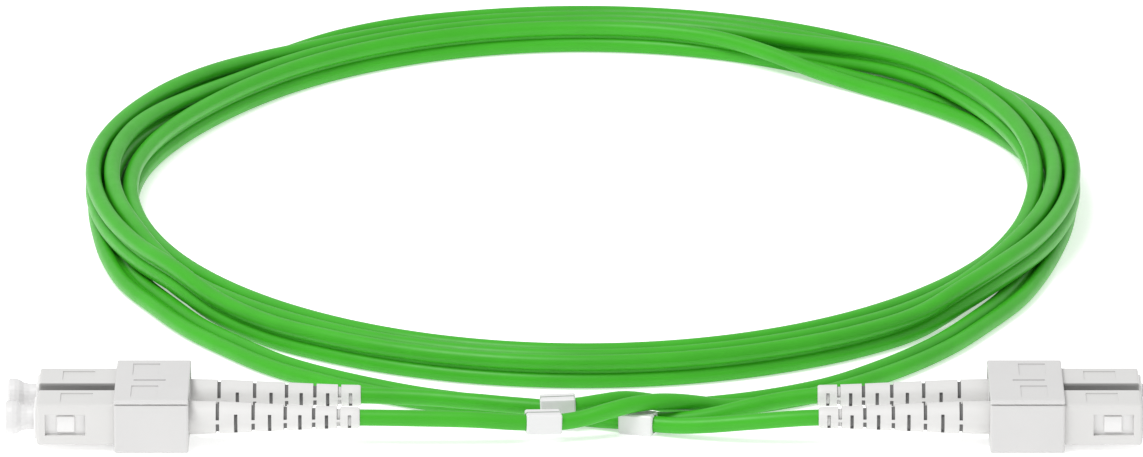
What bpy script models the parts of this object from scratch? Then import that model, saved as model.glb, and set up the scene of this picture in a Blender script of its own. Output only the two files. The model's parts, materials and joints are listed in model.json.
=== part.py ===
"""Duplex fibre optic patch cord: two coiled cord legs with an SC duplex connector at each end.

Metres, +Z up. The origin is on the floor, midway between the two duplex connectors. X runs along the
connectors, from the left end to the right one, and Y runs back over the coil.
"""

from math import cos, pi, radians, sin

import bmesh
import bpy
import numpy as np
from mathutils import Matrix, Vector

MM = 0.001

# ---- driving dimensions -------------------------------------------------------------------------
LEG_D = 2.9 * MM                    # one leg of the cord, over its jacket
LEG_R = LEG_D / 2
LEG_PITCH = 3.2 * MM                # centre to centre of the two legs where they run as a pair
PASS_PITCH = 3.4 * MM               # centre to centre of neighbouring passes of the coil
GAP = 0.3 * MM                      # left between solids that touch on the real object
SC_PITCH = 12.7 * MM                # centre to centre of the two connectors of a duplex pair
AXIS_Z = 4.85 * MM                  # height of the connector axes above the floor
TURN_SIDES = 24                     # facets round a turned piece

# ---- stations along a connector, from the middle of the object towards the mating face ------------
BOOT_TIP = 40.0 * MM
BOOT_END = 71.8 * MM
CLIP_REAR = 69.8 * MM
CLIP_FRONT = 82.8 * MM
HOUSING_REAR = 71.0 * MM
HOUSING_FRONT = 96.3 * MM
FRAME_REAR = 73.6 * MM
FRAME_FRONT = 96.8 * MM
FERRULE_REAR = 88.5 * MM
FERRULE_TIP = 99.6 * MM
CAP_END = 101.8 * MM

# ---- cross-sections of a connector ----------------------------------------------------------------
HOUSING_WIDE = 9.0 * MM
HOUSING_HIGH = 7.4 * MM
HOUSING_BORE_WIDE = 7.3 * MM
HOUSING_BORE_HIGH = 5.8 * MM
HOUSING_REAR_BORE_R = 3.15 * MM
HOUSING_REAR_BORE_DEPTH = 2.4 * MM
WINDOW_LENGTH = 7.0 * MM
WINDOW_HIGH = 3.8 * MM
WINDOW_MIDDLE = 91.3 * MM
PANEL_LENGTH = 5.6 * MM             # a shallow grip panel sunk in the top face
PANEL_WIDE = 5.0 * MM
PANEL_DEEP = 0.2 * MM
PANEL_MIDDLE = 89.4 * MM
KEY_WIDE = 2.4 * MM
KEY_HIGH = 0.95 * MM
KEY_LENGTH = 5.6 * MM
KEY_MIDDLE = 87.0 * MM
FRAME_WIDE = 7.1 * MM
FRAME_HIGH = 5.6 * MM
FRAME_BORE_R = 2.35 * MM
FRAME_SHOULDER_R = 1.8 * MM
FRAME_SHOULDER_FROM = 88.0 * MM
FRAME_SHOULDER_TO = 88.8 * MM
CATCH_HIGH = 0.4 * MM
CATCH_WIDE = 3.0 * MM
CATCH_LENGTH = 3.2 * MM
CATCH_MIDDLE = 91.2 * MM
FERRULE_R = 1.25 * MM
FERRULE_CHAMFER = 0.35 * MM

# ---- duplex clip -----------------------------------------------------------------------------------
CLIP_HALF_WIDE = 11.75 * MM
CLIP_HIGH = 9.7 * MM
CLIP_SPLIT_Z = 8.75 * MM            # top of the tray, above the floor
CLIP_SPLIT_GAP = 0.1 * MM
CHANNEL_CLEARANCE = 0.05 * MM
BOOT_SLOT_R = 3.15 * MM
TAB_LENGTH = 7.0 * MM
TAB_THICK = 1.6 * MM
TAB_DEEP = 3.6 * MM
TAB_CLEARANCE = 0.1 * MM
RECESS_FROM = 75.2 * MM             # a shallow recess over each connector in the top of the cover
RECESS_TO = 79.9 * MM
RECESS_WIDE = 6.4 * MM
RECESS_DEEP = 0.2 * MM

# ---- marker sleeves --------------------------------------------------------------------------------
MARKER_LENGTH = 6.2 * MM
MARKER_SIDE = 3.7 * MM
MARKER_BORE_R = 1.58 * MM
MARKER_SLIT = 0.5 * MM              # the sleeve opens along its top to be put on the leg
SLEEVED_RUN = MARKER_LENGTH + 0.6 * MM  # the leg is straight this far through its sleeve

# ---- coil ------------------------------------------------------------------------------------------
# The outermost pass follows an oval. A turn's angle is 0 at the right, 90 at the back, 180 at the left
# and 270 at the front, and it goes on past 360 in the second, third and fourth passes. The passes stand
# on edge side by side. The first comes in flat under the others at the right and the last one goes out
# flat under them at the left.
OVAL_X = -1.0 * MM
OVAL_Y = 137.0 * MM
OVAL_HALF_X = 90.0 * MM
OVAL_HALF_Y = 111.0 * MM
COIL_START = -42.0                  # the left end's legs join here, beside the coil on the floor
COIL_END = 1080.0 + 224.0           # and the right end's legs leave it here
PASSES = 4
RIDE_HIGH = 3.1 * MM                # how far a pass is raised where a flat one lies under it
# By pass: the angles where it starts to rise, is up, starts to fall and is down again.
RIDES_RIGHT = {1: (-34, 20, 34, 68), 2: (-52, -16, 20, 54), 3: (-54, -32, 7, 40)}
RIDES_LEFT = {1: (134, 175, 193, 220), 2: (118, 160, 213, 230)}
COIL_STEPS = 120
COIL_WALL_DEG = 0.3                 # run of the steep walls where the legs join and leave
COIL_CHAMFER = 0.8 * MM

# ---- routes of the four legs between the boots and the coil, chosen by hand --------------------------
LEFT_FRONT_ROUTE = [
    (-0.0400, -0.00635, 0.00485), (-0.0300, -0.00650, 0.00475), (-0.0200, -0.00620, 0.00440),
    (-0.0120, -0.00550, 0.00370), (-0.0060, -0.00470, 0.00340), (-0.0010, -0.00380, 0.00390),
    (0.0030, -0.00270, 0.00480), (0.0070, -0.00110, 0.00540), (0.0110, 0.00090, 0.00540),
    (0.0150, 0.00330, 0.00470), (0.0190, 0.00590, 0.00350), (0.0230, 0.00830, 0.00220),
    (0.0280, 0.01090, 0.00150), (0.0354, 0.01450, 0.00145), (0.0425, 0.01930, 0.00145),
    (0.0533, 0.03010, 0.00145), (0.0643, 0.04540, 0.00145),
]
LEFT_REAR_ROUTE = [
    (-0.0400, 0.00635, 0.00485), (-0.0300, 0.00560, 0.00475), (-0.0200, 0.00390, 0.00450),
    (-0.0120, 0.00220, 0.00430), (-0.0060, 0.00150, 0.00415), (-0.0020, 0.00190, 0.00440),
    (0.0020, 0.00350, 0.00455), (0.0060, 0.00570, 0.00440), (0.0100, 0.00780, 0.00340),
    (0.0140, 0.00950, 0.00210), (0.0180, 0.01090, 0.00150), (0.0220, 0.01220, 0.00145),
    (0.0280, 0.01440, 0.00145), (0.0354, 0.01820, 0.00145), (0.0414, 0.02230, 0.00145),
    (0.0511, 0.03240, 0.00145), (0.0616, 0.04710, 0.00145),
]
RIGHT_FRONT_ROUTE = [
    (0.0400, -0.00635, 0.00485), (0.0280, -0.00560, 0.00380), (0.0200, -0.00370, 0.00260),
    (0.0160, -0.00240, 0.00210), (0.0120, -0.00090, 0.00185), (0.0085, 0.00020, 0.00185),
    (0.0050, 0.00130, 0.00180), (0.0020, 0.00250, 0.00160), (-0.0020, 0.00430, 0.00145),
    (-0.0060, 0.00560, 0.00145), (-0.0140, 0.00760, 0.00145), (-0.0240, 0.01120, 0.00145),
    (-0.0320, 0.01490, 0.00145), (-0.0400, 0.01960, 0.00145), (-0.0480, 0.02560, 0.00145),
    (-0.0556, 0.03250, 0.00145), (-0.0647, 0.04470, 0.00145),
]
RIGHT_REAR_ROUTE = [
    (0.0400, 0.00635, 0.00485), (0.0330, 0.00540, 0.00420), (0.0270, 0.00400, 0.00330),
    (0.0210, 0.00280, 0.00220), (0.0170, 0.00250, 0.00170), (0.0130, 0.00280, 0.00145),
    (0.0085, 0.00370, 0.00145), (0.0040, 0.00510, 0.00145), (0.0000, 0.00690, 0.00145),
    (-0.0050, 0.00850, 0.00145), (-0.0128, 0.01070, 0.00145), (-0.0225, 0.01420, 0.00145),
    (-0.0303, 0.01770, 0.00145), (-0.0380, 0.02240, 0.00145), (-0.0457, 0.02800, 0.00145),
    (-0.0531, 0.03460, 0.00145), (-0.0620, 0.04640, 0.00145),
]
TUBE_POINTS = 19                    # points of each tube, about 8 mm apart

# The legs that carry a marker sleeve, and the X at which the sleeve sits.
MARKER_X = {"left_front": -8.0 * MM, "left_rear": -5.7 * MM, "right_front": 8.5 * MM}


# ---- materials -------------------------------------------------------------------------------------
def principled(name, colour, roughness, metallic=0.0):
    material = bpy.data.materials.new(name)
    material.use_nodes = True
    shader = material.node_tree.nodes["Principled BSDF"]
    shader.inputs["Base Color"].default_value = (*colour, 1.0)
    shader.inputs["Roughness"].default_value = roughness
    shader.inputs["Metallic"].default_value = metallic
    return material


# name: colour (linear), roughness, metallic
FINISHES = {
    "jacket": ((0.065, 0.42, 0.04), 0.45, 0.0),
    "housing": ((0.76, 0.75, 0.73), 0.35, 0.0),
    "clip": ((0.72, 0.71, 0.70), 0.4, 0.0),
    "plug_frame": ((0.82, 0.81, 0.80), 0.35, 0.0),
    "boot": ((0.80, 0.79, 0.78), 0.55, 0.0),
    "cap": ((0.80, 0.80, 0.80), 0.4, 0.0),
    "marker": ((0.84, 0.84, 0.84), 0.45, 0.0),
    "zirconia": ((0.88, 0.87, 0.83), 0.15, 0.0),
    "nickel": ((0.66, 0.62, 0.55), 0.25, 1.0),
    "spring_steel": ((0.58, 0.58, 0.60), 0.3, 1.0),
    "crimp": ((0.70, 0.68, 0.64), 0.35, 1.0),
    "buffer": ((0.85, 0.83, 0.74), 0.5, 0.0),
}


# ---- shape helpers ---------------------------------------------------------------------------------
def mesh_from(bm, name, smooth=False):
    """The bmesh as a mesh whose faces point outward."""
    bmesh.ops.recalc_face_normals(bm, faces=bm.faces)
    mesh = bpy.data.meshes.new(name)
    bm.to_mesh(mesh)
    bm.free()
    if smooth:
        mesh.shade_smooth()
        mesh.set_sharp_from_angle(angle=radians(35))
    return mesh


def turned(name, profile, sides=TURN_SIDES, smooth=True):
    """A solid turned about +X. The profile is a closed loop of (x, radius); radius 0 is the axis."""
    bm = bmesh.new()
    rings = []
    for x, radius in profile:
        if radius == 0:
            rings.append([bm.verts.new((x, 0, 0))])
            continue
        angles = [2 * pi * (k + 0.5) / sides for k in range(sides)]
        rings.append([bm.verts.new((x, radius * cos(a), radius * sin(a))) for a in angles])
    for ring, following in zip(rings, rings[1:] + rings[:1]):
        join_rings(bm, ring, following)
    return mesh_from(bm, name, smooth)


def join_rings(bm, ring, following):
    """Faces between two rings of the same count, or between a ring and a point on the axis."""
    count = max(len(ring), len(following))
    if count == 1:
        return
    for k in range(count):
        after = (k + 1) % count
        if len(ring) == 1:
            bm.faces.new((ring[0], following[after], following[k]))
        elif len(following) == 1:
            bm.faces.new((ring[k], ring[after], following[0]))
        else:
            bm.faces.new((ring[k], ring[after], following[after], following[k]))


def lofted(name, sections, closed, smooth=True):
    """A solid through sections of equal count: a closed band, or one with a cap on each end."""
    bm = bmesh.new()
    rings = [[bm.verts.new(point) for point in section] for section in sections]
    following = rings[1:] + rings[:1] if closed else rings[1:]
    for ring, after in zip(rings, following):
        join_rings(bm, ring, after)
    if not closed:
        bm.faces.new(rings[0])
        bm.faces.new(rings[-1])
    return mesh_from(bm, name, smooth)


def block(name, low, high, bevel=0.0, segments=2):
    """A box between two corners, with rounded edges where a bevel is given."""
    bm = bmesh.new()
    bmesh.ops.create_cube(bm, size=1.0)
    low, high = Vector(low), Vector(high)
    size = high - low
    bmesh.ops.scale(bm, vec=size, verts=bm.verts)
    bmesh.ops.translate(bm, vec=(low + high) / 2, verts=bm.verts)
    if bevel:
        bmesh.ops.bevel(
            bm, geom=bm.edges[:], offset=bevel, segments=segments, profile=0.5, affect="EDGES"
        )
    return mesh_from(bm, name)


def carved(name, body, cuts, unions=()):
    """The body's mesh joined with the unions, less the cuts, as one mesh."""
    base = bpy.data.objects.new(name, body)
    bpy.context.collection.objects.link(base)
    helpers = []
    for operation, meshes in (("UNION", unions), ("DIFFERENCE", cuts)):
        for mesh in meshes:
            helper = bpy.data.objects.new("cutter", mesh)
            bpy.context.collection.objects.link(helper)
            helpers.append(helper)
            boolean = base.modifiers.new("boolean", "BOOLEAN")
            boolean.operation = operation
            boolean.object = helper
            boolean.solver = "EXACT"
    bpy.context.view_layer.update()
    depsgraph = bpy.context.evaluated_depsgraph_get()
    mesh = bpy.data.meshes.new_from_object(base.evaluated_get(depsgraph))
    mesh.name = name
    for helper in helpers + [base]:
        bpy.data.objects.remove(helper)
    mesh.materials.clear()
    mesh.shade_smooth()
    mesh.set_sharp_from_angle(angle=radians(35))
    return mesh


# ---- connector pieces, along +X from the boot to the mating face, with the axis at Z = 0 --------------
def outer_housing_mesh():
    """The push-pull grip: a rectangular sleeve with a latch window in each side and a key below."""
    half_wide, half_high = HOUSING_WIDE / 2, HOUSING_HIGH / 2
    body = block(
        "outer_housing", (HOUSING_REAR, -half_wide, -half_high), (HOUSING_FRONT, half_wide, half_high),
        bevel=0.45 * MM,
    )
    key = block(
        "key",
        (KEY_MIDDLE - KEY_LENGTH / 2, -KEY_WIDE / 2, -half_high - KEY_HIGH),
        (KEY_MIDDLE + KEY_LENGTH / 2, KEY_WIDE / 2, -half_high + 0.5 * MM),
    )
    bore_from = HOUSING_REAR + HOUSING_REAR_BORE_DEPTH
    bore = block(
        "bore",
        (bore_from, -HOUSING_BORE_WIDE / 2, -HOUSING_BORE_HIGH / 2),
        (HOUSING_FRONT + 1 * MM, HOUSING_BORE_WIDE / 2, HOUSING_BORE_HIGH / 2),
    )
    rear_bore = turned(
        "rear_bore",
        [
            (HOUSING_REAR - 1 * MM, 0),
            (HOUSING_REAR - 1 * MM, HOUSING_REAR_BORE_R),
            (bore_from + 0.2 * MM, HOUSING_REAR_BORE_R),
            (bore_from + 0.2 * MM, 0),
        ],
        smooth=False,
    )
    window = block(
        "window",
        (WINDOW_MIDDLE - WINDOW_LENGTH / 2, -half_wide - 1 * MM, -WINDOW_HIGH / 2),
        (WINDOW_MIDDLE + WINDOW_LENGTH / 2, half_wide + 1 * MM, WINDOW_HIGH / 2),
    )
    panel = block(
        "panel",
        (PANEL_MIDDLE - PANEL_LENGTH / 2, -PANEL_WIDE / 2, half_high - PANEL_DEEP),
        (PANEL_MIDDLE + PANEL_LENGTH / 2, PANEL_WIDE / 2, half_high + 1 * MM),
    )
    return carved("outer_housing", body, [bore, rear_bore, window, panel], [key])


def plug_frame_mesh():
    """The fixed inner body: a rectangular sleeve with a stepped bore and a catch on each side."""
    half_wide, half_high = FRAME_WIDE / 2, FRAME_HIGH / 2
    body = block(
        "plug_frame", (FRAME_REAR, -half_wide, -half_high), (FRAME_FRONT, half_wide, half_high),
        bevel=0.3 * MM,
    )
    catches = block(
        "catches",
        (CATCH_MIDDLE - CATCH_LENGTH / 2, -half_wide - CATCH_HIGH, -CATCH_WIDE / 2),
        (CATCH_MIDDLE + CATCH_LENGTH / 2, half_wide + CATCH_HIGH, CATCH_WIDE / 2),
        bevel=0.15 * MM, segments=1,
    )
    bore = turned(
        "bore",
        [
            (FRAME_REAR - 1 * MM, 0),
            (FRAME_REAR - 1 * MM, FRAME_BORE_R),
            (FRAME_SHOULDER_FROM, FRAME_BORE_R),
            (FRAME_SHOULDER_FROM, FRAME_SHOULDER_R),
            (FRAME_SHOULDER_TO, FRAME_SHOULDER_R),
            (FRAME_SHOULDER_TO, FRAME_BORE_R),
            (FRAME_FRONT + 1 * MM, FRAME_BORE_R),
            (FRAME_FRONT + 1 * MM, 0),
        ],
        smooth=False,
    )
    return carved("plug_frame", body, [bore], [catches])


def ferrule_mesh():
    return turned(
        "ferrule",
        [
            (FERRULE_REAR, 0),
            (FERRULE_REAR, FERRULE_R),
            (FERRULE_TIP - FERRULE_CHAMFER, FERRULE_R),
            (FERRULE_TIP, FERRULE_R - FERRULE_CHAMFER),
            (FERRULE_TIP, 0),
        ],
    )


def ferrule_flange_mesh():
    """The metal holder: a cup for the ferrule, a collar for the spring and a tail through it."""
    return turned(
        "ferrule_flange",
        [
            (91.0 * MM, 1.32 * MM), (91.0 * MM, 1.7 * MM), (87.6 * MM, 1.7 * MM), (87.6 * MM, 2.2 * MM),
            (86.0 * MM, 2.2 * MM), (86.0 * MM, 0.95 * MM), (78.4 * MM, 0.95 * MM),
            (78.4 * MM, 0.55 * MM), (88.3 * MM, 0.55 * MM), (88.3 * MM, 1.32 * MM),
        ],
    )


def ferrule_spring_mesh():
    """A compression spring of round wire between the stop ring and the collar."""
    turns, steps_a_turn, wire_sides = 5.5, 8, 5
    wire_r, coil_r = 0.24 * MM, 1.45 * MM
    start, end = 79.6 * MM, 85.4 * MM
    steps = int(turns * steps_a_turn)
    sections = []
    for k in range(steps + 1):
        angle = 2 * pi * k / steps_a_turn
        outward = Vector((0, cos(angle), sin(angle)))
        centre = outward * coil_r + Vector((start + (end - start) * k / steps, 0, 0))
        ring = []
        for side in range(wire_sides):
            around = 2 * pi * side / wire_sides
            ring.append(centre + outward * wire_r * cos(around) + Vector((wire_r * sin(around), 0, 0)))
        sections.append(ring)
    return lofted("ferrule_spring", sections, closed=False)


def stop_ring_mesh():
    """The extender: it closes the plug frame from behind and carries the crimp on its barrel."""
    return turned(
        "stop_ring",
        [
            (79.0 * MM, 1.1 * MM), (79.0 * MM, 2.25 * MM), (73.3 * MM, 2.25 * MM), (73.3 * MM, 2.6 * MM),
            (72.3 * MM, 2.6 * MM), (72.3 * MM, 1.85 * MM), (64.0 * MM, 1.85 * MM), (64.0 * MM, 1.1 * MM),
        ],
    )


def crimp_sleeve_mesh():
    return turned(
        "crimp_sleeve",
        [(71.6 * MM, 1.95 * MM), (71.6 * MM, 2.25 * MM), (62.5 * MM, 2.25 * MM), (62.5 * MM, 1.95 * MM)],
    )


def boot_mesh():
    """The strain relief, tapered from the crimp to the cord."""
    return turned(
        "boot",
        [
            (BOOT_END, 2.35 * MM), (BOOT_END, 2.9 * MM), (65.5 * MM, 2.85 * MM), (54.0 * MM, 2.35 * MM),
            (43.0 * MM, 1.9 * MM), (BOOT_TIP + 0.2 * MM, 1.85 * MM), (BOOT_TIP, 1.7 * MM),
            (BOOT_TIP, 1.5 * MM), (61.8 * MM, 1.5 * MM), (61.8 * MM, 2.35 * MM),
        ],
    )


def fibre_buffer_mesh():
    """The coated fibre inside the connector, bonded into the ferrule's holder."""
    return turned(
        "fibre_buffer",
        [(42.0 * MM, 0), (42.0 * MM, 0.45 * MM), (88.1 * MM, 0.45 * MM), (88.1 * MM, 0)],
        sides=10,
    )


def dust_cap_mesh():
    """A blind sleeve over the ferrule with a trumpet-shaped rim to pull it by."""
    return turned(
        "dust_cap",
        [
            (92.5 * MM, 1.33 * MM), (92.5 * MM, 2.1 * MM), (98.0 * MM, 2.1 * MM), (99.0 * MM, 2.3 * MM),
            (99.8 * MM, 2.8 * MM), (100.6 * MM, 3.0 * MM), (CAP_END - 0.3 * MM, 3.0 * MM),
            (CAP_END, 2.7 * MM), (CAP_END, 0), (100.7 * MM, 0), (100.7 * MM, 1.33 * MM),
        ],
    )


# ---- duplex clip, in the same axes, centred between the two connectors ---------------------------------
def clip_tray_mesh():
    """The lower part: a channel for each housing and an open slot for each boot in the rear wall."""
    top = CLIP_SPLIT_Z - AXIS_Z
    body = block(
        "clip_tray", (CLIP_REAR, -CLIP_HALF_WIDE, -AXIS_Z), (CLIP_FRONT, CLIP_HALF_WIDE, top),
        bevel=0.35 * MM,
    )
    cuts = []
    above = top + 2 * MM
    for middle in (-SC_PITCH / 2, SC_PITCH / 2):
        half_wide = HOUSING_WIDE / 2 + CHANNEL_CLEARANCE
        cuts.append(
            block(
                "channel",
                (HOUSING_REAR - CHANNEL_CLEARANCE, middle - half_wide, -HOUSING_HIGH / 2 - CHANNEL_CLEARANCE),
                (CLIP_FRONT + 1 * MM, middle + half_wide, above),
            )
        )
        cuts.append(boot_slot_mesh(middle, above))
    cuts.append(tab_mesh(TAB_CLEARANCE, above))
    return carved("clip_tray", body, cuts)


def boot_slot_mesh(middle, above):
    """A round-bottomed slot, open upward, through the clip's rear wall."""
    outline = [(BOOT_SLOT_R, above), (-BOOT_SLOT_R, above)]
    for k in range(13):
        angle = pi + pi * k / 12
        outline.append((BOOT_SLOT_R * cos(angle), BOOT_SLOT_R * sin(angle)))
    ends = (CLIP_REAR - 1 * MM, HOUSING_REAR + 0.2 * MM)
    sections = [[(x, middle + y, z) for y, z in outline] for x in ends]
    return lofted("boot_slot", sections, closed=False, smooth=False)


def tab_mesh(clearance, top):
    """The snap tab between the two channels, or with a clearance the socket that it goes into."""
    middle = (CLIP_REAR + CLIP_FRONT) / 2
    half_long = TAB_LENGTH / 2 + clearance
    half_thick = TAB_THICK / 2 + clearance
    bottom = CLIP_SPLIT_Z - AXIS_Z - TAB_DEEP - clearance
    return block("tab", (middle - half_long, -half_thick, bottom), (middle + half_long, half_thick, top))


def clip_cover_mesh():
    """The upper part: a plate with a snap tab below and a slot in its top."""
    bottom = CLIP_SPLIT_Z + CLIP_SPLIT_GAP - AXIS_Z
    top = CLIP_HIGH - AXIS_Z
    body = block(
        "clip_cover", (CLIP_REAR, -CLIP_HALF_WIDE, bottom), (CLIP_FRONT, CLIP_HALF_WIDE, top),
        bevel=0.25 * MM,
    )
    cuts = [block("slot", (74.0 * MM, -0.3 * MM, top - 0.4 * MM), (79.6 * MM, 0.3 * MM, top + 1 * MM))]
    for middle in (-SC_PITCH / 2, SC_PITCH / 2):
        cuts.append(
            block(
                "recess",
                (RECESS_FROM, middle - RECESS_WIDE / 2, top - RECESS_DEEP),
                (RECESS_TO, middle + RECESS_WIDE / 2, top + 1 * MM),
            )
        )
    return carved("clip_cover", body, cuts, [tab_mesh(0.0, bottom + 0.4 * MM)])


# ---- coil ------------------------------------------------------------------------------------------
def eased(value, start, end):
    """0 before start, 1 after end and a smooth rise between them."""
    t = min(1.0, max(0.0, (value - start) / (end - start)))
    return t * t * t * (t * (6 * t - 15) + 10)


def oval(turn):
    """The outermost pass's centre line at this angle, and the direction outward from it."""
    angle = radians(turn)
    centre = Vector((OVAL_X + OVAL_HALF_X * cos(angle), OVAL_Y + OVAL_HALF_Y * sin(angle), 0))
    outward = Vector((cos(angle) / OVAL_HALF_X, sin(angle) / OVAL_HALF_Y, 0)).normalized()
    return centre, outward


def entering_pass(angle):
    """How far inside the oval the first pass is as it slips in under the others, and its tilt."""
    tilt = radians(90) * eased(angle, 42, 84)
    inward = -7.2 * MM + 9.4 * MM * eased(angle, -62, -6)
    inward += 9.6 * MM * eased(angle, 0, 62)
    return inward - LEG_PITCH / 2 * (1 - cos(tilt)), tilt


def leaving_pass(angle):
    """The same for the last pass as it goes out under the others."""
    tilt = radians(90) * (1 - eased(angle, 98, 142))
    inward = 3.6 * MM * eased(angle, 130, 180) - 5.4 * MM * eased(angle, 182, 224)
    inward -= 6.5 * MM * eased(angle, 214, 238)
    return inward - LEG_PITCH / 2 * cos(tilt), tilt


def raised(past, angle):
    """How high the pass rides here over the flat one under it."""
    share = 0.0
    for rides in (RIDES_RIGHT, RIDES_LEFT):
        if past in rides:
            rise, top, fall, end = rides[past]
            share += eased(angle, rise, top) - eased(angle, fall, end)
    return RIDE_HIGH * share


def leg_offsets(turn):
    """Both legs of the pass at this angle: how far inside the oval each is, and how high."""
    past, angle = divmod(turn + 90, 360)
    angle -= 90
    lift, side = 0.0, -1
    if past == 0 and angle < 100:
        inward, tilt = entering_pass(angle)
    elif past == PASSES - 1 and angle > 95:
        inward, tilt = leaving_pass(angle)
        side = 1
    else:
        tilt = radians(90)
        inward = PASS_PITCH * (PASSES - 1 - past - eased(angle, 138, 186))
        lift = raised(past, angle)
    across, up = side * cos(tilt) * LEG_PITCH / 2, sin(tilt) * LEG_PITCH / 2
    middle = LEG_R + up + lift
    return (inward + across, middle - up), (inward - across, middle + up)


def coil_section(angle):
    """The solid's outline across the coil at this angle: a box with cut corners round its passes."""
    legs = []
    for past in range(PASSES):
        turn = angle + 360 * past
        if angle < -90:
            turn += 360
        if COIL_START < turn < COIL_END:
            legs += leg_offsets(turn)
    inner = -max(inward for inward, _ in legs) - LEG_R
    outer = -min(inward for inward, _ in legs) + LEG_R
    low, high = 0.0, max(height for _, height in legs) + LEG_R
    centre, outward = oval(angle)
    cut = COIL_CHAMFER
    outline = [
        (inner + cut, low), (outer - cut, low), (outer, low + cut), (outer, high - cut),
        (outer - cut, high), (inner + cut, high), (inner, high - cut), (inner, low + cut),
    ]
    return [centre + outward * across + Vector((0, 0, up)) for across, up in outline]


def cord_coil_mesh():
    turns = {-180 + 360 * k / COIL_STEPS for k in range(COIL_STEPS)}
    for wall in (COIL_START, COIL_END - 360 * PASSES):
        turns = {turn for turn in turns if abs(turn - wall) > 1.2}
        turns |= {wall - COIL_WALL_DEG / 2, wall + COIL_WALL_DEG / 2}
    return lofted("cord_coil", [coil_section(turn) for turn in sorted(turns)], closed=True, smooth=False)


def legs_at(turn):
    """Where the two legs are at this angle of the coil."""
    centre, outward = oval(turn)
    return [centre - outward * inward + Vector((0, 0, up)) for inward, up in leg_offsets(turn)]


# ---- legs ------------------------------------------------------------------------------------------
def smooth_curve(points, step=0.5 * MM):
    """Points close together on the smooth curve through the route's points."""
    points = np.array(points)
    spans = np.linalg.norm(np.diff(points, axis=0), axis=1)
    slopes = np.diff(points, axis=0) / spans[:, None]
    tangents = np.vstack([slopes[:1], slopes[1:], slopes[-1:]])
    before, after = spans[:-1, None], spans[1:, None]
    tangents[1:-1] = (slopes[:-1] * after + slopes[1:] * before) / (before + after)
    found = []
    for k, span in enumerate(spans):
        for t in np.arange(0, 1, step / span):
            found.append(
                (2 * t**3 - 3 * t**2 + 1) * points[k]
                + (t**3 - 2 * t**2 + t) * span * tangents[k]
                + (3 * t**2 - 2 * t**3) * points[k + 1]
                + (t**3 - t**2) * span * tangents[k + 1]
            )
    return np.array(found + [points[-1]])


def spaced(points, count, trim_start, trim_end, sleeve_x=None):
    """Evenly spaced points along a dense curve, less a length at each end, straight in its sleeve."""
    along = np.concatenate([[0], np.cumsum(np.linalg.norm(np.diff(points, axis=0), axis=1))])
    wanted = np.linspace(trim_start, along[-1] - trim_end, count)
    if sleeve_x is not None:
        middle = along[np.abs(points[:, 0] - sleeve_x).argmin()]
        wanted = wanted[np.abs(wanted - middle) > SLEEVED_RUN]
        wanted = np.sort(np.append(wanted, [middle - SLEEVED_RUN / 2, middle + SLEEVED_RUN / 2]))
    return np.stack([np.interp(wanted, along, points[:, axis]) for axis in range(3)], axis=1)


def leg_routes():
    """Each leg's points from its boot's tip to the coil's wall."""
    left_front, left_rear = legs_at(COIL_START)
    right_rear, right_front = legs_at(COIL_END)
    return {
        "left_front": LEFT_FRONT_ROUTE + [tuple(left_front)],
        "left_rear": LEFT_REAR_ROUTE + [tuple(left_rear)],
        "right_front": RIGHT_FRONT_ROUTE + [tuple(right_front)],
        "right_rear": RIGHT_REAR_ROUTE + [tuple(right_rear)],
    }


def leg_line(points, sleeve_x):
    """The tube's own points, from the boot's tip to the coil's wall."""
    wall_run = OVAL_HALF_Y * radians(COIL_WALL_DEG) / 2
    return spaced(smooth_curve(points), TUBE_POINTS, GAP, GAP + wall_run, sleeve_x)


def leg_tube(name, route, material):
    """The leg between its boot and the coil, as a round curve with closed ends."""
    curve = bpy.data.curves.new(name, "CURVE")
    curve.dimensions = "3D"
    curve.bevel_depth = LEG_R
    curve.bevel_resolution = 2
    curve.use_fill_caps = True
    curve.render_resolution_u = 0
    curve.materials.append(material)
    line = curve.splines.new("POLY")
    line.points.add(len(route) - 1)
    for point, place in zip(line.points, route):
        point.co = (*place, 1.0)
    tube = bpy.data.objects.new(name, curve)
    bpy.context.collection.objects.link(tube)
    return tube


# ---- marker sleeves ----------------------------------------------------------------------------------
def marker_mesh():
    half = MARKER_SIDE / 2
    body = block(
        "marker", (-MARKER_LENGTH / 2, -half, -half), (MARKER_LENGTH / 2, half, half),
        bevel=0.25 * MM, segments=1,
    )
    bore = turned(
        "bore",
        [(-MARKER_LENGTH, 0), (-MARKER_LENGTH, MARKER_BORE_R), (MARKER_LENGTH, MARKER_BORE_R), (MARKER_LENGTH, 0)],
        smooth=False,
    )
    slit = block(
        "slit", (-MARKER_LENGTH, -MARKER_SLIT / 2, 0), (MARKER_LENGTH, MARKER_SLIT / 2, MARKER_SIDE)
    )
    return carved("marker", body, [bore, slit])


def place_marker(piece, line, x):
    """Sets the sleeve on its leg's straight run at this X."""
    middles = (line[1:] + line[:-1]) / 2
    nearest = int(np.abs(middles[:, 0] - x).argmin())
    along = Vector(line[nearest + 1] - line[nearest])
    piece.location = middles[nearest]
    piece.rotation_mode = "QUATERNION"
    piece.rotation_quaternion = along.to_track_quat("X", "Z")


# ---- assembly ----------------------------------------------------------------------------------------
def new_empty(name, parent=None, location=(0, 0, 0), turn=0.0):
    empty = bpy.data.objects.new(name, None)
    empty.location = location
    empty.rotation_euler = (0, 0, turn)
    empty.parent = parent
    bpy.context.collection.objects.link(empty)
    return empty


def new_piece(name, mesh, parent=None):
    piece = bpy.data.objects.new(name, mesh)
    piece.parent = parent
    bpy.context.collection.objects.link(piece)
    return piece


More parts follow.
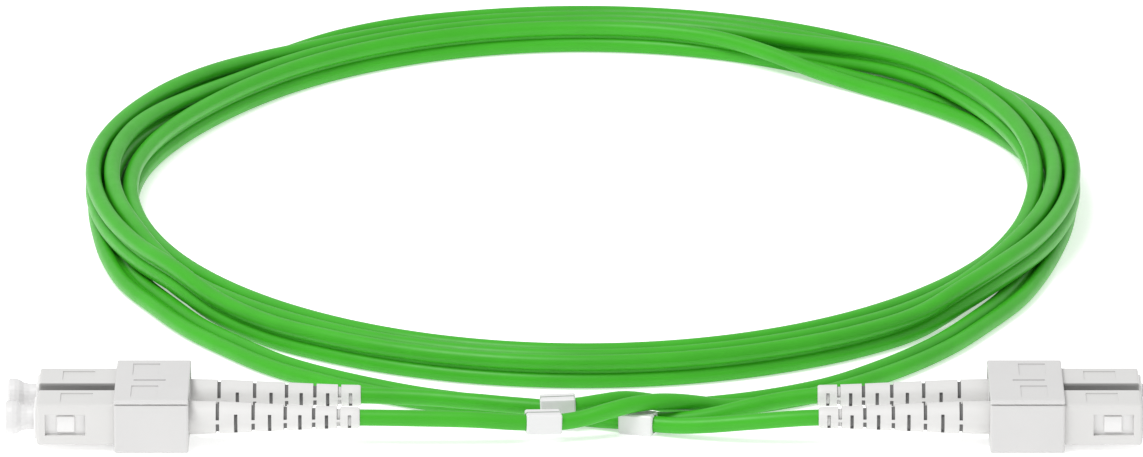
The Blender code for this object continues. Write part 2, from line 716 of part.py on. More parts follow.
def build():
    for old in list(bpy.data.objects):
        bpy.data.objects.remove(old)
    materials = {name: principled(name, *finish) for name, finish in FINISHES.items()}

    connector_pieces = {
        "outer_housing": (outer_housing_mesh(), "housing"),
        "plug_frame": (plug_frame_mesh(), "plug_frame"),
        "ferrule": (ferrule_mesh(), "zirconia"),
        "ferrule_flange": (ferrule_flange_mesh(), "nickel"),
        "ferrule_spring": (ferrule_spring_mesh(), "spring_steel"),
        "stop_ring": (stop_ring_mesh(), "nickel"),
        "crimp_sleeve": (crimp_sleeve_mesh(), "crimp"),
        "boot": (boot_mesh(), "boot"),
        "fibre_buffer": (fibre_buffer_mesh(), "buffer"),
        "dust_cap": (dust_cap_mesh(), "cap"),
    }
    clip_pieces = {"clip_tray": clip_tray_mesh(), "clip_cover": clip_cover_mesh()}
    marker = marker_mesh()
    coil = cord_coil_mesh()
    for mesh, slot in connector_pieces.values():
        mesh.materials.append(materials[slot])
    for mesh in clip_pieces.values():
        mesh.materials.append(materials["clip"])
    marker.materials.append(materials["marker"])
    coil.materials.append(materials["jacket"])

    cord = new_empty("cord")
    new_piece("cord_coil", coil, cord)
    for leg, points in leg_routes().items():
        line = leg_line(points, MARKER_X.get(leg))
        leg_tube(f"cord_leg_{leg}", line, materials["jacket"]).parent = cord
        if leg in MARKER_X:
            place_marker(new_piece(f"marker_{leg}", marker, cord), line, MARKER_X[leg])

    for end, turn, facing in (("left", pi, -1), ("right", 0.0, 1)):
        frame = new_empty(f"{end}_end", location=(0, 0, AXIS_Z), turn=turn)
        for name, mesh in clip_pieces.items():
            new_piece(f"{end}_{name}", mesh, frame)
        for row, world_y in (("front", -SC_PITCH / 2), ("rear", SC_PITCH / 2)):
            axis = new_empty(f"{end}_{row}", frame, (0, facing * world_y, 0))
            for name, (mesh, _) in connector_pieces.items():
                new_piece(f"{end}_{row}_{name}", mesh, axis)


build()
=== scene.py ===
"""Looks of the duplex fibre optic patch cord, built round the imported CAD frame. Metres, +Z up."""

import json
from math import cos, pi, radians, sin

import bmesh
import bpy
import numpy as np
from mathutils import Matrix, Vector


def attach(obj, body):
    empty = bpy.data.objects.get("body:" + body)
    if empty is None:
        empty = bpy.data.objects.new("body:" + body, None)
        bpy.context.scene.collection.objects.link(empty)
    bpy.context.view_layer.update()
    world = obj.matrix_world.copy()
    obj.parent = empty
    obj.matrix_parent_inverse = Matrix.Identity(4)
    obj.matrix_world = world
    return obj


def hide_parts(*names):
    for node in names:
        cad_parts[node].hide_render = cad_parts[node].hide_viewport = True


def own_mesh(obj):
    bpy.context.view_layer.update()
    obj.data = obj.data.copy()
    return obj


MM = 0.001
ENDS = ("left", "right")
ROWS = ("front", "rear")

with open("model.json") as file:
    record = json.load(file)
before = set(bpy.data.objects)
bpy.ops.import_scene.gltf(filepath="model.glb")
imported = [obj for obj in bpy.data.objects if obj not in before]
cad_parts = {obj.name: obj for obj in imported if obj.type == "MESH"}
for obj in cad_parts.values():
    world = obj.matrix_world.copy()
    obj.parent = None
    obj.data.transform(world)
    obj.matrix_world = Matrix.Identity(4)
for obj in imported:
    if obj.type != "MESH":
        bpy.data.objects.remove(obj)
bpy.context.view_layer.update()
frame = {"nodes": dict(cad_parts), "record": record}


# ---- camera ------------------------------------------------------------------------------------------
AIM = Vector((-0.0031, 0.0091, 0.0346))     # the point at the middle of the picture
ELEVATION = radians(17.0)
DISTANCE = 2.5
LENS_MM = 450.4
SENSOR_MM = 36.0
VIEW_REACH = 20.0


def add_camera():
    backward = Vector((0, -cos(ELEVATION), sin(ELEVATION)))
    data = bpy.data.cameras.new("camera")
    data.lens = LENS_MM
    data.sensor_width = SENSOR_MM
    data.clip_end = VIEW_REACH
    camera = bpy.data.objects.new("camera", data)
    camera.location = AIM + backward * DISTANCE
    camera.rotation_euler = backward.to_track_quat("Z", "Y").to_euler()
    bpy.context.collection.objects.link(camera)
    bpy.context.scene.camera = camera


add_camera()


# ---- the cord's route, the same as the CAD's -----------------------------------------------------------
LEG_D = 2.9 * MM
LEG_R = LEG_D / 2
LEG_PITCH = 3.2 * MM
PASS_PITCH = 3.4 * MM
OVAL_X = -1.0 * MM
OVAL_Y = 137.0 * MM
OVAL_HALF_X = 90.0 * MM
OVAL_HALF_Y = 111.0 * MM
COIL_START = -42.0                  # angles go on growing round the coil, from 0 at the right
COIL_END = 1080.0 + 224.0
COIL_STEP = 8.0
PASSES = 4
PASS_BEGINS = -90.0                 # a pass is counted from the front
# Moves inward are (how far, from this angle, to this angle).
# Between its TURNS angles a pass turns from lying flat to standing on edge, or back.
ENTERS_AT = -7.2 * MM               # outside the oval
ENTERING_MOVES = [(9.4 * MM, -62, -6), (9.6 * MM, 0, 62)]
ENTERING_TURNS = (42, 84)
ENTERED_BY = 100
LEAVING_MOVES = [(3.6 * MM, 130, 180), (-5.4 * MM, 182, 224), (-6.5 * MM, 214, 238)]
LEAVING_TURNS = (98, 142)
LEAVES_FROM = 95
NEXT_PLACE = (138, 186)             # where all but the last pass move out by one place
ON_EDGE = radians(90)
RIDE_HIGH = 3.1 * MM                # how far a pass is raised where a flat one lies under it
# By pass: the angles where it starts to rise, is up, starts to fall and is down again.
RIDES_RIGHT = {1: (-34, 20, 34, 68), 2: (-52, -16, 20, 54), 3: (-54, -32, 7, 40)}
RIDES_LEFT = {1: (134, 175, 193, 220), 2: (118, 160, 213, 230)}
LEFT_FRONT_ROUTE = [
    (-0.0400, -0.00635, 0.00485), (-0.0300, -0.00650, 0.00475), (-0.0200, -0.00620, 0.00440),
    (-0.0120, -0.00550, 0.00370), (-0.0060, -0.00470, 0.00340), (-0.0010, -0.00380, 0.00390),
    (0.0030, -0.00270, 0.00480), (0.0070, -0.00110, 0.00540), (0.0110, 0.00090, 0.00540),
    (0.0150, 0.00330, 0.00470), (0.0190, 0.00590, 0.00350), (0.0230, 0.00830, 0.00220),
    (0.0280, 0.01090, 0.00150), (0.0354, 0.01450, 0.00145), (0.0425, 0.01930, 0.00145),
    (0.0533, 0.03010, 0.00145), (0.0643, 0.04540, 0.00145),
]
LEFT_REAR_ROUTE = [
    (-0.0400, 0.00635, 0.00485), (-0.0300, 0.00560, 0.00475), (-0.0200, 0.00390, 0.00450),
    (-0.0120, 0.00220, 0.00430), (-0.0060, 0.00150, 0.00415), (-0.0020, 0.00190, 0.00440),
    (0.0020, 0.00350, 0.00455), (0.0060, 0.00570, 0.00440), (0.0100, 0.00780, 0.00340),
    (0.0140, 0.00950, 0.00210), (0.0180, 0.01090, 0.00150), (0.0220, 0.01220, 0.00145),
    (0.0280, 0.01440, 0.00145), (0.0354, 0.01820, 0.00145), (0.0414, 0.02230, 0.00145),
    (0.0511, 0.03240, 0.00145), (0.0616, 0.04710, 0.00145),
]
RIGHT_FRONT_ROUTE = [
    (0.0400, -0.00635, 0.00485), (0.0280, -0.00560, 0.00380), (0.0200, -0.00370, 0.00260),
    (0.0160, -0.00240, 0.00210), (0.0120, -0.00090, 0.00185), (0.0085, 0.00020, 0.00185),
    (0.0050, 0.00130, 0.00180), (0.0020, 0.00250, 0.00160), (-0.0020, 0.00430, 0.00145),
    (-0.0060, 0.00560, 0.00145), (-0.0140, 0.00760, 0.00145), (-0.0240, 0.01120, 0.00145),
    (-0.0320, 0.01490, 0.00145), (-0.0400, 0.01960, 0.00145), (-0.0480, 0.02560, 0.00145),
    (-0.0556, 0.03250, 0.00145), (-0.0647, 0.04470, 0.00145),
]
RIGHT_REAR_ROUTE = [
    (0.0400, 0.00635, 0.00485), (0.0330, 0.00540, 0.00420), (0.0270, 0.00400, 0.00330),
    (0.0210, 0.00280, 0.00220), (0.0170, 0.00250, 0.00170), (0.0130, 0.00280, 0.00145),
    (0.0085, 0.00370, 0.00145), (0.0040, 0.00510, 0.00145), (0.0000, 0.00690, 0.00145),
    (-0.0050, 0.00850, 0.00145), (-0.0128, 0.01070, 0.00145), (-0.0225, 0.01420, 0.00145),
    (-0.0303, 0.01770, 0.00145), (-0.0380, 0.02240, 0.00145), (-0.0457, 0.02800, 0.00145),
    (-0.0531, 0.03460, 0.00145), (-0.0620, 0.04640, 0.00145),
]
INTO_BOOT = 6.0 * MM                # how far a leg runs on inside its boot
SAMPLES_PER_SPAN = 24               # between two of the route's points, before they are spaced evenly


def eased(value, start, end):
    """0 before start, 1 after end and a smooth rise between them."""
    t = min(1.0, max(0.0, (value - start) / (end - start)))
    return t * t * t * (t * (6 * t - 15) + 10)


def oval(turn):
    """The outermost pass's centre line at this angle, and the direction outward from it."""
    angle = radians(turn)
    centre = Vector((OVAL_X + OVAL_HALF_X * cos(angle), OVAL_Y + OVAL_HALF_Y * sin(angle), 0))
    outward = Vector((cos(angle) / OVAL_HALF_X, sin(angle) / OVAL_HALF_Y, 0)).normalized()
    return centre, outward


def moved(moves, angle):
    """How far inward these moves have come by this angle."""
    return sum(far * eased(angle, start, end) for far, start, end in moves)


def entering_pass(angle):
    """How far inside the oval the first pass is as it slips in under the others, and its tilt."""
    tilt = ON_EDGE * eased(angle, *ENTERING_TURNS)
    inward = ENTERS_AT + moved(ENTERING_MOVES, angle)
    return inward - LEG_PITCH / 2 * (1 - cos(tilt)), tilt


def leaving_pass(angle):
    """The same for the last pass as it goes out under the others."""
    tilt = ON_EDGE * (1 - eased(angle, *LEAVING_TURNS))
    return moved(LEAVING_MOVES, angle) - LEG_PITCH / 2 * cos(tilt), tilt


def raised(past, angle):
    """How high the pass rides here over the flat one under it."""
    share = 0.0
    for rides in (RIDES_RIGHT, RIDES_LEFT):
        if past in rides:
            rise, top, fall, end = rides[past]
            share += eased(angle, rise, top) - eased(angle, fall, end)
    return RIDE_HIGH * share


def leg_offsets(turn):
    """Both legs of the pass at this angle: how far inside the oval each is, and how high."""
    past, angle = divmod(turn - PASS_BEGINS, 360)
    angle += PASS_BEGINS
    lift, side = 0.0, -1
    if past == 0 and angle < ENTERED_BY:
        inward, tilt = entering_pass(angle)
    elif past == PASSES - 1 and angle > LEAVES_FROM:
        inward, tilt = leaving_pass(angle)
        side = 1
    else:
        tilt = ON_EDGE
        inward = PASS_PITCH * (PASSES - 1 - past - eased(angle, *NEXT_PLACE))
        lift = raised(past, angle)
    across, up = side * cos(tilt) * LEG_PITCH / 2, sin(tilt) * LEG_PITCH / 2
    middle = LEG_R + up + lift
    return (inward + across, middle - up), (inward - across, middle + up)


def legs_at(turn):
    """Where the two legs are at this angle of the coil."""
    centre, outward = oval(turn)
    return [centre - outward * inward + Vector((0, 0, up)) for inward, up in leg_offsets(turn)]


def coil_points(leg):
    turns = np.linspace(COIL_START, COIL_END, int((COIL_END - COIL_START) / COIL_STEP) + 1)
    return [tuple(legs_at(turn)[leg]) for turn in turns]


def boot_entry(point, next_point):
    """A point inside the boot, straight behind its tip."""
    x, y, z = point
    return (x + (INTO_BOOT if x > next_point[0] else -INTO_BOOT), y, z)


def leg_points(start_route, leg, end_route):
    points = [boot_entry(start_route[0], start_route[1])] + start_route
    points += coil_points(leg) + end_route[::-1]
    points.append(boot_entry(end_route[0], end_route[1]))
    return points


def smooth_curve(points, step):
    """Evenly spaced points on the smooth curve through these points."""
    points = np.array(points)
    spans = np.linalg.norm(np.diff(points, axis=0), axis=1)
    slopes = np.diff(points, axis=0) / spans[:, None]
    tangents = np.vstack([slopes[:1], slopes[1:], slopes[-1:]])
    before, after = spans[:-1, None], spans[1:, None]
    tangents[1:-1] = (slopes[:-1] * after + slopes[1:] * before) / (before + after)
    dense = []
    for k, span in enumerate(spans):
        for t in np.linspace(0, 1, SAMPLES_PER_SPAN, endpoint=False):
            dense.append(
                (2 * t**3 - 3 * t**2 + 1) * points[k]
                + (t**3 - 2 * t**2 + t) * span * tangents[k]
                + (3 * t**2 - 2 * t**3) * points[k + 1]
                + (t**3 - t**2) * span * tangents[k + 1]
            )
    dense = np.array(dense + [points[-1]])
    along = np.concatenate([[0], np.cumsum(np.linalg.norm(np.diff(dense, axis=0), axis=1))])
    wanted = np.linspace(0, along[-1], int(along[-1] / step) + 1)
    return np.stack([np.interp(wanted, along, dense[:, axis]) for axis in range(3)], axis=1)


# ---- mesh helpers --------------------------------------------------------------------------------------
def new_piece(name, bm, sharp_deg=40):
    bmesh.ops.recalc_face_normals(bm, faces=bm.faces)
    mesh = bpy.data.meshes.new(name)
    bm.to_mesh(mesh)
    bm.free()
    mesh.shade_smooth()
    mesh.set_sharp_from_angle(angle=radians(sharp_deg))
    piece = bpy.data.objects.new(name, mesh)
    bpy.context.collection.objects.link(piece)
    return piece


def lofted(name, sections, loop=False, sharp_deg=40):
    """A skin through sections of equal count, capped at both ends unless it is a loop."""
    bm = bmesh.new()
    rings = [[bm.verts.new(point) for point in section] for section in sections]
    pairs = list(zip(rings, rings[1:]))
    if loop:
        pairs.append((rings[-1], rings[0]))
    for ring, after in pairs:
        count = len(ring)
        for k in range(count):
            bm.faces.new((ring[k], ring[(k + 1) % count], after[(k + 1) % count], after[k]))
    if not loop:
        bm.faces.new(rings[0])
        bm.faces.new(rings[-1])
    return new_piece(name, bm, sharp_deg)


def directions(line):
    ahead = np.gradient(line, axis=0)
    return ahead / np.linalg.norm(ahead, axis=1)[:, None]


def tube_sections(line, radius, sides):
    """Rings round a line, turning as little as they can from one to the next."""
    sections = []
    ahead = directions(line)
    side = np.cross(ahead[0], (0, 0, 1.0))
    for centre, forward in zip(line, ahead):
        side = side - forward * side.dot(forward)
        side /= np.linalg.norm(side)
        up = np.cross(side, forward)
        angles = [2 * pi * k / sides for k in range(sides)]
        sections.append([centre + radius * (side * cos(a) + up * sin(a)) for a in angles])
    return sections


# ---- cord ----------------------------------------------------------------------------------------------
TUBE_SIDES = 16
TUBE_STEP = 1.5 * MM
WEB_THICK = 0.9 * MM
WEB_WIDE = 1.2 * MM
WEB_REACH = 3.3 * MM                # legs further apart than this have been split
WEB_SEARCH = 20 * MM                # how far along the other leg the nearest point is looked for


def add_legs():
    """The cord's two legs, each one piece from a left boot to a right one."""
    routes = {
        "cord_leg_a": (LEFT_FRONT_ROUTE, 0, RIGHT_REAR_ROUTE, ("left_front", "right_rear")),
        "cord_leg_b": (LEFT_REAR_ROUTE, 1, RIGHT_FRONT_ROUTE, ("left_rear", "right_front")),
    }
    legs = {}
    for name, (start, leg, end, tubes) in routes.items():
        line = smooth_curve(leg_points(start, leg, end), TUBE_STEP)
        piece = lofted(name, tube_sections(line, LEG_R, TUBE_SIDES))
        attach(piece, "root")
        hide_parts("cord_coil", *(f"cord_leg_{tube}" for tube in tubes))
        legs[name] = (piece, line)
    return legs


def add_web(line_a, line_b):
    """The thin web that holds the two legs together wherever they haven't been split."""
    window = int(WEB_SEARCH / TUBE_STEP)
    run, runs = [], []
    ahead = directions(line_a)
    for k, centre in enumerate(line_a):
        near = line_b[max(0, k - window):k + window]
        distances = np.linalg.norm(near - centre, axis=1)
        nearest = int(distances.argmin())
        if distances[nearest] < WEB_REACH:
            run.append((centre, near[nearest], ahead[k]))
        elif run:
            runs.append(run)
            run = []
    runs.append(run)
    sections = []
    for a, b, forward in max(runs, key=len):
        across = (b - a) / np.linalg.norm(b - a)
        up = np.cross(forward, across)
        up *= WEB_THICK / 2 / np.linalg.norm(up)
        middle = (a + b) / 2
        half = across * WEB_WIDE / 2
        sections.append([middle - half - up, middle + half - up, middle + half + up, middle - half + up])
    web = lofted("cord_web", sections)
    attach(web, "root")
    return web


legs = add_legs()
cord_web = add_web(legs["cord_leg_a"][1], legs["cord_leg_b"][1])


# ---- materials -----------------------------------------------------------------------------------------
CLOUD_SCALE = 90.0                  # noise and wave scales, per metre
GLOSS_SCALE = 400.0
TARNISH_SCALE = 300.0
TURNING_SCALE = 1500.0
GLOSS_SPREAD = 0.07
TARNISH_DARKER = 0.88
CLOUDS_FROM, CLOUDS_TO = 0.3, 0.7   # the part of the noise that carries the change of colour
COAT_ROUGHNESS = 0.25
GRAIN_STRENGTH = 0.25
TURNING_STRENGTH = 0.15
TURNING_DEPTH = 0.01 * MM
GAP_HALF = 1.9 * MM                 # a pair's facing sides are just inside this, either side of Y = 0
GAP_FADE = 0.3 * MM
GAP_SHADE = 0.42


def first_node(tree, kind):
    """The node tree's first node of this type."""
    return next(node for node in tree.nodes if node.type == kind)


def principled(name, roughness, metallic=0.0, specular=0.5):
    material = bpy.data.materials.new(name)
    material.use_nodes = True
    nodes, links = material.node_tree.nodes, material.node_tree.links
    shader = first_node(material.node_tree, "BSDF_PRINCIPLED")
    shader.inputs["Roughness"].default_value = roughness
    shader.inputs["Metallic"].default_value = metallic
    shader.inputs["Specular IOR Level"].default_value = specular
    coordinates = nodes.new("ShaderNodeTexCoord")
    return material, nodes, links, shader, coordinates


def noise(nodes, links, coordinates, scale, detail):
    texture = nodes.new("ShaderNodeTexNoise")
    texture.inputs["Scale"].default_value = scale
    texture.inputs["Detail"].default_value = detail
    links.new(coordinates.outputs["Object"], texture.inputs["Vector"])
    return texture


def mixed_colour(nodes, links, factor, low, high):
    ramp = nodes.new("ShaderNodeValToRGB")
    stops = ((CLOUDS_FROM, low), (CLOUDS_TO, high))
    for element, (position, colour) in zip(ramp.color_ramp.elements, stops):
        element.position = position
        element.color = (*colour, 1.0)
    links.new(factor, ramp.inputs["Fac"])
    return ramp.outputs["Color"]


def ranged(nodes, links, value, low, high, start=0.0, end=1.0):
    """Low where the value is at start, high where it is at end."""
    span = nodes.new("ShaderNodeMapRange")
    span.inputs["From Min"].default_value = start
    span.inputs["From Max"].default_value = end
    span.inputs["To Min"].default_value = low
    span.inputs["To Max"].default_value = high
    links.new(value, span.inputs["Value"])
    return span.outputs["Result"]


def bumped(nodes, links, shader, height, strength, distance):
    bump = nodes.new("ShaderNodeBump")
    bump.inputs["Strength"].default_value = strength
    bump.inputs["Distance"].default_value = distance
    links.new(height, bump.inputs["Height"])
    links.new(bump.outputs["Normal"], shader.inputs["Normal"])


def moulded(
    name, colour, darker, roughness, grain=9000.0, grain_depth=0.02 * MM, coat=0.0, specular=0.5
):
    """Moulded or extruded plastic: cloudy colour, uneven gloss and a fine surface grain."""
    material, nodes, links, shader, coordinates = principled(name, roughness, specular=specular)
    shader.inputs["Coat Weight"].default_value = coat
    shader.inputs["Coat Roughness"].default_value = COAT_ROUGHNESS
    clouds = noise(nodes, links, coordinates, CLOUD_SCALE, 3.0)
    low = tuple(c * darker for c in colour)
    links.new(mixed_colour(nodes, links, clouds.outputs["Fac"], low, colour), shader.inputs["Base Color"])
    patches = noise(nodes, links, coordinates, GLOSS_SCALE, 2.0)
    gloss = ranged(
        nodes, links, patches.outputs["Fac"], roughness - GLOSS_SPREAD, roughness + GLOSS_SPREAD
    )
    links.new(gloss, shader.inputs["Roughness"])
    fine = noise(nodes, links, coordinates, grain, 2.0)
    bumped(nodes, links, shader, fine.outputs["Fac"], GRAIN_STRENGTH, grain_depth)
    return material


def metal(name, colour, roughness):
    """Plated or drawn metal with fine turning marks."""
    material, nodes, links, shader, coordinates = principled(name, roughness, metallic=1.0)
    clouds = noise(nodes, links, coordinates, TARNISH_SCALE, 2.0)
    low = tuple(c * TARNISH_DARKER for c in colour)
    links.new(mixed_colour(nodes, links, clouds.outputs["Fac"], low, colour), shader.inputs["Base Color"])
    rings = nodes.new("ShaderNodeTexWave")
    rings.wave_type = "BANDS"
    rings.bands_direction = "X"
    rings.inputs["Scale"].default_value = TURNING_SCALE
    rings.inputs["Distortion"].default_value = 0.6
    links.new(coordinates.outputs["Object"], rings.inputs["Vector"])
    bumped(nodes, links, shader, rings.outputs["Fac"], TURNING_STRENGTH, TURNING_DEPTH)
    return material


MATERIALS = {
    "jacket": moulded("jacket", (0.046, 0.42, 0.013), 0.9, 0.42, grain=3500.0, specular=0.34),
    "housing": moulded("housing", (0.64, 0.635, 0.625), 0.97, 0.34, coat=0.1),
    "clip": moulded("clip", (0.62, 0.615, 0.61), 0.97, 0.42),
    "plug_frame": moulded("plug_frame", (0.80, 0.795, 0.79), 0.98, 0.36),
    "boot": moulded("boot", (0.68, 0.675, 0.665), 0.97, 0.5),
    # painted shade: a dark grey that stands in for the shadow down in the boots' slots, the boot being
    # one white plastic
    "slot_painted_shade": moulded("slot_painted_shade", (0.17, 0.17, 0.168), 0.9, 0.6),
    "cap": moulded("cap", (0.70, 0.695, 0.695), 0.97, 0.4),
    "marker": moulded("marker", (0.72, 0.72, 0.72), 0.98, 0.42),
    "zirconia": moulded("zirconia", (0.88, 0.87, 0.83), 0.99, 0.15, grain_depth=0.002 * MM, coat=0.3),
    "nickel": metal("nickel", (0.66, 0.62, 0.55), 0.26),
    "spring_steel": metal("spring_steel", (0.58, 0.58, 0.60), 0.3),
    "crimp": metal("crimp", (0.70, 0.68, 0.64), 0.36),
    "buffer": moulded("buffer", (0.85, 0.83, 0.74), 0.97, 0.5),
}


def shade_gap(material):
    """Darkens the facing sides of a connector pair, where little light gets in between them."""
    nodes, links = material.node_tree.nodes, material.node_tree.links
    shader = first_node(material.node_tree, "BSDF_PRINCIPLED")
    coordinates = nodes.new("ShaderNodeTexCoord")
    parts = nodes.new("ShaderNodeSeparateXYZ")
    links.new(coordinates.outputs["Object"], parts.inputs["Vector"])
    distance = nodes.new("ShaderNodeMath")
    distance.operation = "ABSOLUTE"
    links.new(parts.outputs["Y"], distance.inputs[0])
    share = ranged(
        nodes, links, distance.outputs["Value"], GAP_SHADE, 1.0, start=GAP_HALF, end=GAP_HALF + GAP_FADE
    )
    shaded = nodes.new("ShaderNodeVectorMath")
    shaded.operation = "SCALE"
    colour = shader.inputs["Base Color"].links[0].from_socket
    links.new(colour, shaded.inputs["Vector"])
    links.new(share, shaded.inputs["Scale"])
    links.new(shaded.outputs["Vector"], shader.inputs["Base Color"])


shade_gap(MATERIALS["housing"])


def paint(piece, slot):
    piece.data.materials.clear()
    piece.data.materials.append(MATERIALS[slot])


for row in frame["record"]["subparts"]:
    paint(frame["nodes"][row["node"]], row["material_slot"])
for piece, _ in legs.values():
    paint(piece, "jacket")
paint(cord_web, "jacket")


# ---- boots ---------------------------------------------------------------------------------------------
# Stations are distances along X from the middle of the object, the same at both ends.
SC_PITCH = 12.7 * MM                # between the two connectors of a pair
AXIS_Z = 4.85 * MM
BOOT_BORE_R = 1.5 * MM
SLOT_DEEP = 0.4 * MM
SLOT_WIDTH = 0.55 * MM
SLOT_EDGE = 0.02 * MM               # a slot's side slopes over twice this
SLOT_COUNT = 10
SLOT_FIRST = 64.8 * MM              # the slot nearest the connector
SLOT_LAST = 41.8 * MM
SLOT_CROWDING = 0.28
TOP_SLOT_SPANS = [(8, 172), (188, 352)]     # degrees round the boot, counted upward from its side
SIDE_SLOT_SPANS = [(-58, 28), (152, 238)]
BOOT_OUTLINE = [                    # station and radius in mm, from the connector to the tip
    (71.8, 2.9), (69.0, 2.9), (65.5, 2.85), (60.0, 2.62), (54.0, 2.35), (48.0, 2.08), (43.0, 1.9),
    (40.4, 1.85), (40.1, 1.75), (40.0, 1.6),
]
RING_APART = 0.6 * MM               # a ring of the outline nearer a slot than this is left out
RING_STEP = 7.5                     # degrees between points round the boot
SLOT_END_CLEAR = 2.5                # degrees round a slot's end where only its own two points are
SLOT_END_SPREAD = 0.8
SLOT_SHADE_FROM = 0.3               # a face this share of a slot's depth under the skin is in the slot and gets the painted shade
BORE_CLEAR = 0.05 * MM              # the bore's own faces and the tip's end face stay light
TIP_CLEAR = 0.5 * MM


def facing_of(end):
    return 1 if end == "right" else -1


def row_y(row):
    return -SC_PITCH / 2 if row == "front" else SC_PITCH / 2


def boot_radius(station):
    stations = [x * MM for x, _ in BOOT_OUTLINE][::-1]
    radii = [r * MM for _, r in BOOT_OUTLINE][::-1]
    return float(np.interp(station, stations, radii))


def slot_stations():
    """Slots crowd together towards the tip."""
    share = np.linspace(0, 1, SLOT_COUNT)
    share = (1 + SLOT_CROWDING) * share - SLOT_CROWDING * share**2
    return SLOT_FIRST + (SLOT_LAST - SLOT_FIRST) * share


def in_spans(angle, spans):
    return any(low < (angle - low) % 360 + low < high for low, high in spans)


def boot_angles():
    """Even steps round the boot, with close pairs at the slots' ends so that these stay crisp."""
    ends = [end for span in TOP_SLOT_SPANS + SIDE_SLOT_SPANS for end in span]
    angles = {round(a % 360, 2) for a in np.arange(0, 360, RING_STEP)}
    for end in ends:
        angles = {a for a in angles if abs((a - end + 180) % 360 - 180) > SLOT_END_CLEAR}
        angles |= {round((end + offset) % 360, 2) for offset in (-SLOT_END_SPREAD, SLOT_END_SPREAD)}
    return sorted(angles)


def boot_stations():
    """Where the boot's rings are along it, and the slots that are cut into each."""
    stations = []
    for k, middle in enumerate(slot_stations()):
        spans = TOP_SLOT_SPANS if k % 2 == 0 else SIDE_SLOT_SPANS
        for side in (1, -1):
            wall = middle + side * SLOT_WIDTH / 2
            stations += [(wall + side * SLOT_EDGE, []), (wall - side * SLOT_EDGE, spans)]
    taken = [station for station, _ in stations]
    for x, _ in BOOT_OUTLINE:
        if all(abs(x * MM - station) > RING_APART for station in taken):
            stations.append((x * MM, []))
    return sorted(stations, key=lambda row: -row[0])


def boot_sections():
    angles = boot_angles()
    sections = []
    for station, spans in boot_stations():
        ring = []
        for angle in angles:
            radius = boot_radius(station) - (SLOT_DEEP if in_spans(angle, spans) else 0)
            ring.append((station, -radius * cos(radians(angle)), radius * sin(radians(angle))))
        sections.append(ring)
    for station in (BOOT_OUTLINE[-1][0] * MM, BOOT_OUTLINE[0][0] * MM):
        sections.append(
            [(station, -BOOT_BORE_R * cos(radians(a)), BOOT_BORE_R * sin(radians(a))) for a in angles]
        )
    return sections


def placed(sections, end, row):
    """Sections in a connector's own axes, put where that connector is."""
    facing, world_y = facing_of(end), row_y(row)
    return [[(facing * x, world_y + y, z + AXIS_Z) for x, y, z in ring] for ring in sections]


def shade_slots(boot, row):
    """The slots' bottoms and sides get the dark painted shade that stands in for their depth, but not the
    bore or the tip's end face.
    """
    boot.data.materials.append(MATERIALS["slot_painted_shade"])
    tip = BOOT_OUTLINE[-1][0] * MM
    for face in boot.data.polygons:
        station = abs(face.center.x)
        radius = Vector((face.center.y - row_y(row), face.center.z - AXIS_Z)).length
        under_skin = radius < boot_radius(station) - SLOT_DEEP * SLOT_SHADE_FROM
        in_bore = radius <= BOOT_BORE_R + BORE_CLEAR
        if under_skin and not in_bore and station > tip + TIP_CLEAR:
            face.material_index = 1


def add_boots():
    sections = boot_sections()
    for end in ENDS:
        for row in ROWS:
            skin = placed(sections, end, row)
            boot = lofted(f"{end}_{row}_slotted_boot", skin, loop=True, sharp_deg=30)
            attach(boot, "root")
            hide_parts(f"{end}_{row}_boot")
            paint(boot, "boot")
            shade_slots(boot, row)


add_boots()


# ---- ferrule springs -----------------------------------------------------------------------------------
SPRING_FROM = 79.6 * MM
SPRING_TO = 85.4 * MM
SPRING_R = 1.45 * MM
WIRE_R = 0.24 * MM
WIRE_SIDES = 8
SPRING_TURNS = 5.5
STEPS_PER_TURN = 24


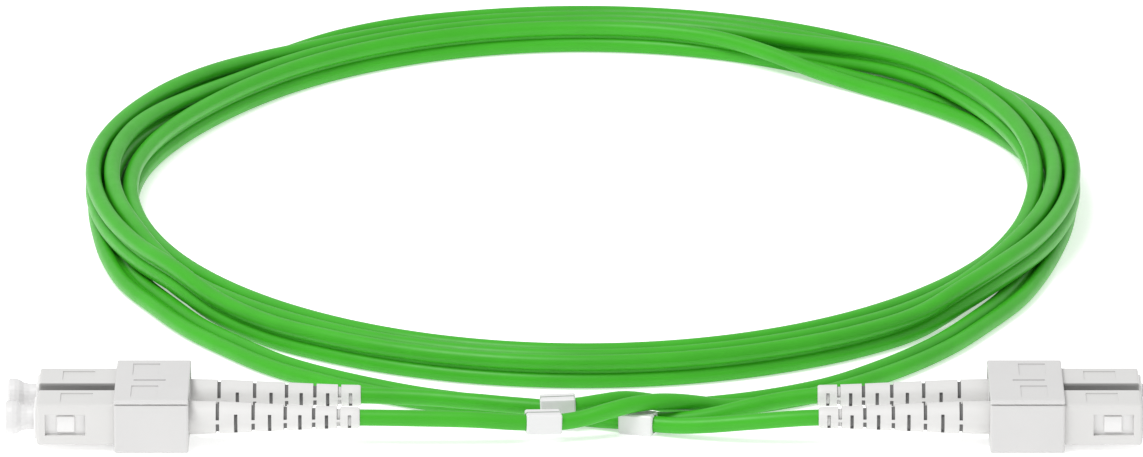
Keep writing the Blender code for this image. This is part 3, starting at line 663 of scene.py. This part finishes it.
def add_springs():
    """A coiled spring for each connector, riding with its ferrule unit."""
    steps = int(SPRING_TURNS * STEPS_PER_TURN)
    line = []
    for k in range(steps + 1):
        angle = 2 * pi * SPRING_TURNS * k / steps
        x = SPRING_FROM + (SPRING_TO - SPRING_FROM) * k / steps
        line.append((x, SPRING_R * cos(angle), SPRING_R * sin(angle)))
    sections = tube_sections(np.array(line), WIRE_R, WIRE_SIDES)
    for end in ENDS:
        for row in ROWS:
            spring = lofted(f"{end}_{row}_coil_spring", placed(sections, end, row))
            unit = f"{end}_{row}_ferrule_unit"
            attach(spring, unit)
            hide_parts(f"{end}_{row}_ferrule_spring")
            paint(spring, "spring_steel")
            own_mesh(spring)


add_springs()


# ---- floor and light -----------------------------------------------------------------------------------
WHITE = (1.0, 1.0, 1.0, 1.0)
FLOOR_SIZE = 8.0
FLOOR_MIDDLE = (0, 0.12, -0.05 * MM)        # just below the object's underside
FLOOR_COLOUR = (0.9, 0.9, 0.9, 1)
FLOOR_GLOW = 0.45                   # lifts the floor to the plain white of a product picture
WORLD_STRENGTH = 0.7
KEY_PLACE = (-0.7, -0.5, 1.8)
KEY_TARGET = (0, 0.1, 0)
KEY_SIZE = 0.9
KEY_WATTS = 24.0


def add_floor():
    bpy.ops.mesh.primitive_plane_add(size=FLOOR_SIZE, location=FLOOR_MIDDLE)
    floor = bpy.context.active_object
    floor.name = "floor"
    material, _, _, shader, _ = principled("floor", 0.6, specular=0.2)
    shader.inputs["Base Color"].default_value = FLOOR_COLOUR
    shader.inputs["Emission Color"].default_value = WHITE
    shader.inputs["Emission Strength"].default_value = FLOOR_GLOW
    floor.data.materials.append(material)


def add_world():
    world = bpy.data.worlds.new("studio")
    world.use_nodes = True
    background = first_node(world.node_tree, "BACKGROUND")
    background.inputs["Color"].default_value = WHITE
    background.inputs["Strength"].default_value = WORLD_STRENGTH
    bpy.context.scene.world = world


def add_key_light():
    data = bpy.data.lights.new("key", "AREA")
    data.shape = "DISK"
    data.size = KEY_SIZE
    data.energy = KEY_WATTS
    light = bpy.data.objects.new("key", data)
    light.location = KEY_PLACE
    light.rotation_euler = (Vector(KEY_PLACE) - Vector(KEY_TARGET)).to_track_quat("Z", "Y").to_euler()
    bpy.context.collection.objects.link(light)


add_floor()
add_world()
add_key_light()
bpy.context.scene.view_settings.view_transform = "Standard"
